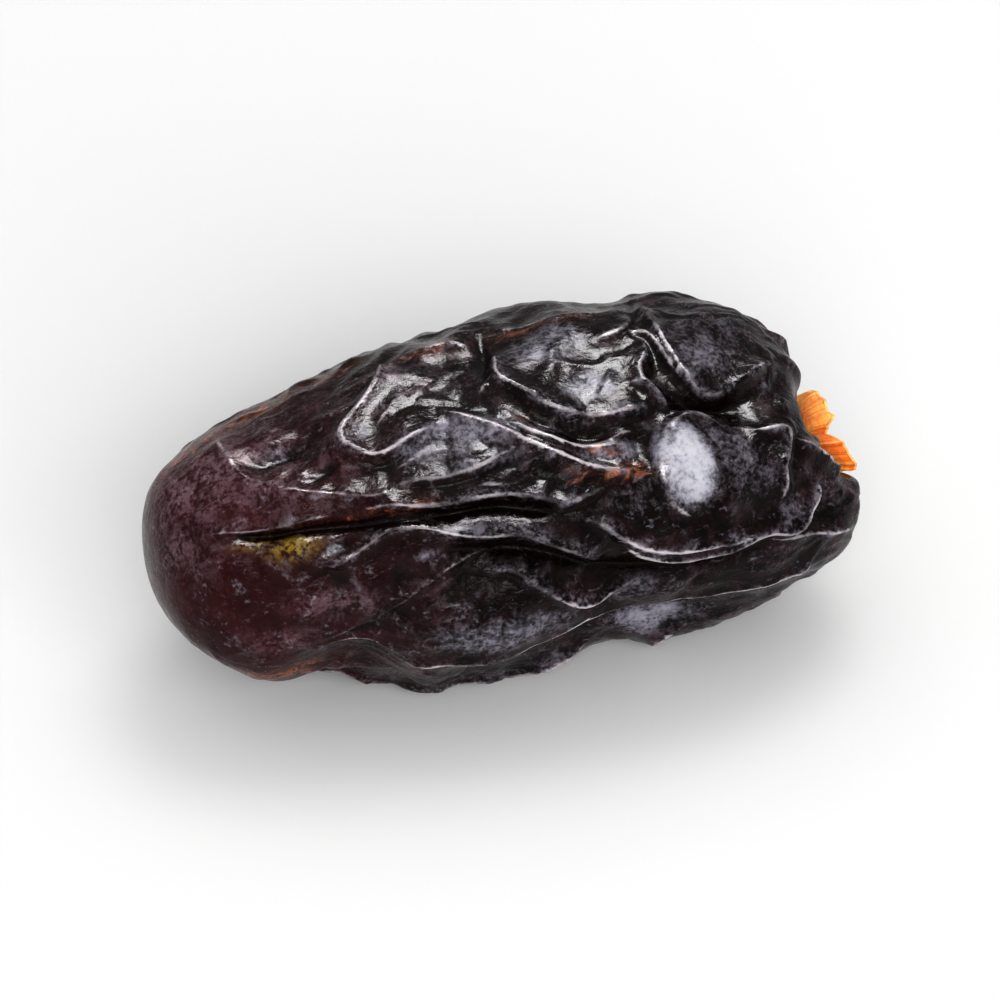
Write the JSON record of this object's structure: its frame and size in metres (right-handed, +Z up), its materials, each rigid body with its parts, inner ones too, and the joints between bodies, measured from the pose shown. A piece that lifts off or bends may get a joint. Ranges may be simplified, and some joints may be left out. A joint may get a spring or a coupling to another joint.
{
  "type": "medjool date",
  "caption": "Dried date fruit lying on its side: a blunt oval body with deep wrinkles and folds, and a small woody calyx in the hollow of the stem end.",
  "frame": {"origin": "middle of the outline box, on the surface the date lies on", "axes": "+X along the date from the blossom end to the stem end, +Z up"},
  "size_m": [0.0484, 0.0246, 0.0236],
  "materials": {
    "fruit": "semi-gloss wrinkled skin with a grey waxy bloom",
    "calyx": "dry, matt, ragged"
  },
  "bodies": {
    "root": {"fruit": "fruit", "calyx": "calyx"}
  },
  "joints": []
}
